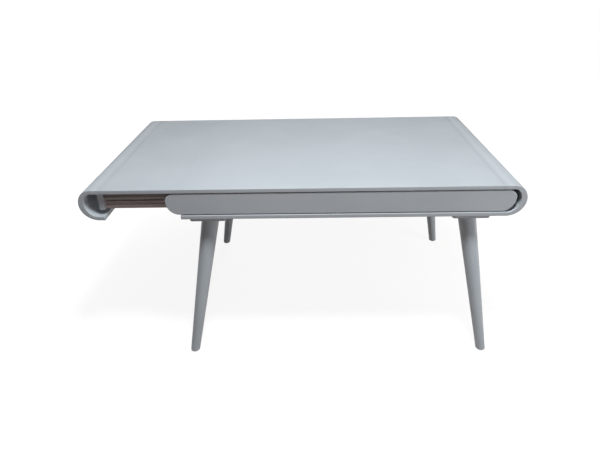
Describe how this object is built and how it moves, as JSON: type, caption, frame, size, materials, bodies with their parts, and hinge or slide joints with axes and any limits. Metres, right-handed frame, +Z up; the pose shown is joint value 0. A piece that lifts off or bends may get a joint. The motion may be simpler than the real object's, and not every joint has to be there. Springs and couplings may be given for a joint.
{
  "type": "extending table",
  "caption": "Grey lacquered extending table with rounded pull-out bow ends on telescopic slides, a lift-out leaf, long aprons and splayed tapered legs.",
  "frame": {"origin": "on the floor, under the middle of the table as it stands with its left end drawn out", "axes": "+X along the table to the closed right end, +Y to the back, +Z up"},
  "size_m": [1.67, 0.9672, 0.76],
  "materials": {
    "grey_lacquer": "satin pale grey lacquer on board",
    "leg_lacquer": "satin grey lacquer on turned wood",
    "inner_board": "matt grey coated board",
    "beech": "bare wood",
    "slide_steel": "rolled zinc-plated steel",
    "zinc_steel": "zinc-plated steel",
    "glide_plastic": "black moulded plastic"
  },
  "bodies": {
    "table_body": {"top_panel": "grey_lacquer", "bottom_panel": "grey_lacquer", "front_apron": "grey_lacquer", "back_apron": "grey_lacquer", "middle_partition": "inner_board", "left_partition": "inner_board", "right_partition": "inner_board", "left_front_leg_plate": "leg_lacquer", "left_front_leg": "leg_lacquer", "left_front_foot_glide": "glide_plastic", "left_front_leg_bolt": "zinc_steel", "left_front_apron_bracket": "zinc_steel", "left_front_slide_outer": "slide_steel", "left_back_leg_plate": "leg_lacquer", "left_back_leg": "leg_lacquer", "left_back_foot_glide": "glide_plastic", "left_back_leg_bolt": "zinc_steel", "left_back_apron_bracket": "zinc_steel", "left_back_slide_outer": "slide_steel", "right_front_leg_plate": "leg_lacquer", "right_front_leg": "leg_lacquer", "right_front_foot_glide": "glide_plastic", "right_front_leg_bolt": "zinc_steel", "right_front_apron_bracket": "zinc_steel", "right_front_slide_outer": "slide_steel", "right_back_leg_plate": "leg_lacquer", "right_back_leg": "leg_lacquer", "right_back_foot_glide": "glide_plastic", "right_back_leg_bolt": "zinc_steel", "right_back_apron_bracket": "zinc_steel", "right_back_slide_outer": "slide_steel"},
    "left_end": {"left_bow": "grey_lacquer", "left_cross_rail": "grey_lacquer", "left_front_arm": "inner_board", "left_front_slide_inner": "slide_steel", "left_back_arm": "inner_board", "left_back_slide_inner": "slide_steel"},
    "left_cages": {"left_front_slide_cage": "zinc_steel", "left_back_slide_cage": "zinc_steel"},
    "right_end": {"right_bow": "grey_lacquer", "right_cross_rail": "grey_lacquer", "right_front_arm": "inner_board", "right_front_slide_inner": "slide_steel", "right_back_arm": "inner_board", "right_back_slide_inner": "slide_steel"},
    "right_cages": {"right_front_slide_cage": "zinc_steel", "right_back_slide_cage": "zinc_steel"},
    "leaf": {"leaf": "grey_lacquer", "leaf_front_batten": "beech", "leaf_back_batten": "beech"}
  },
  "joints": [
    {"name": "left_end_slide", "type": "slide", "parent": "table_body", "child": "left_end", "axis": [-1, 0, 0], "range_m": [0, 0.05]},
    {"name": "left_cages_slide", "type": "slide", "parent": "table_body", "child": "left_cages", "axis": [-1, 0, 0], "range_m": [0, 0.025]},
    {"name": "right_end_slide", "type": "slide", "parent": "table_body", "child": "right_end", "axis": [1, 0, 0], "range_m": [0, 0.34]},
    {"name": "right_cages_slide", "type": "slide", "parent": "table_body", "child": "right_cages", "axis": [1, 0, 0], "range_m": [0, 0.17]},
    {"name": "leaf_lift", "type": "slide", "parent": "left_end", "child": "leaf", "axis": [0, 0, 1], "range_m": [0, 0.25]}
  ],
  "couplings": [
    {"joint": "left_cages_slide", "follows": "left_end_slide", "ratio": 0.5},
    {"joint": "right_cages_slide", "follows": "right_end_slide", "ratio": 0.5}
  ]
}
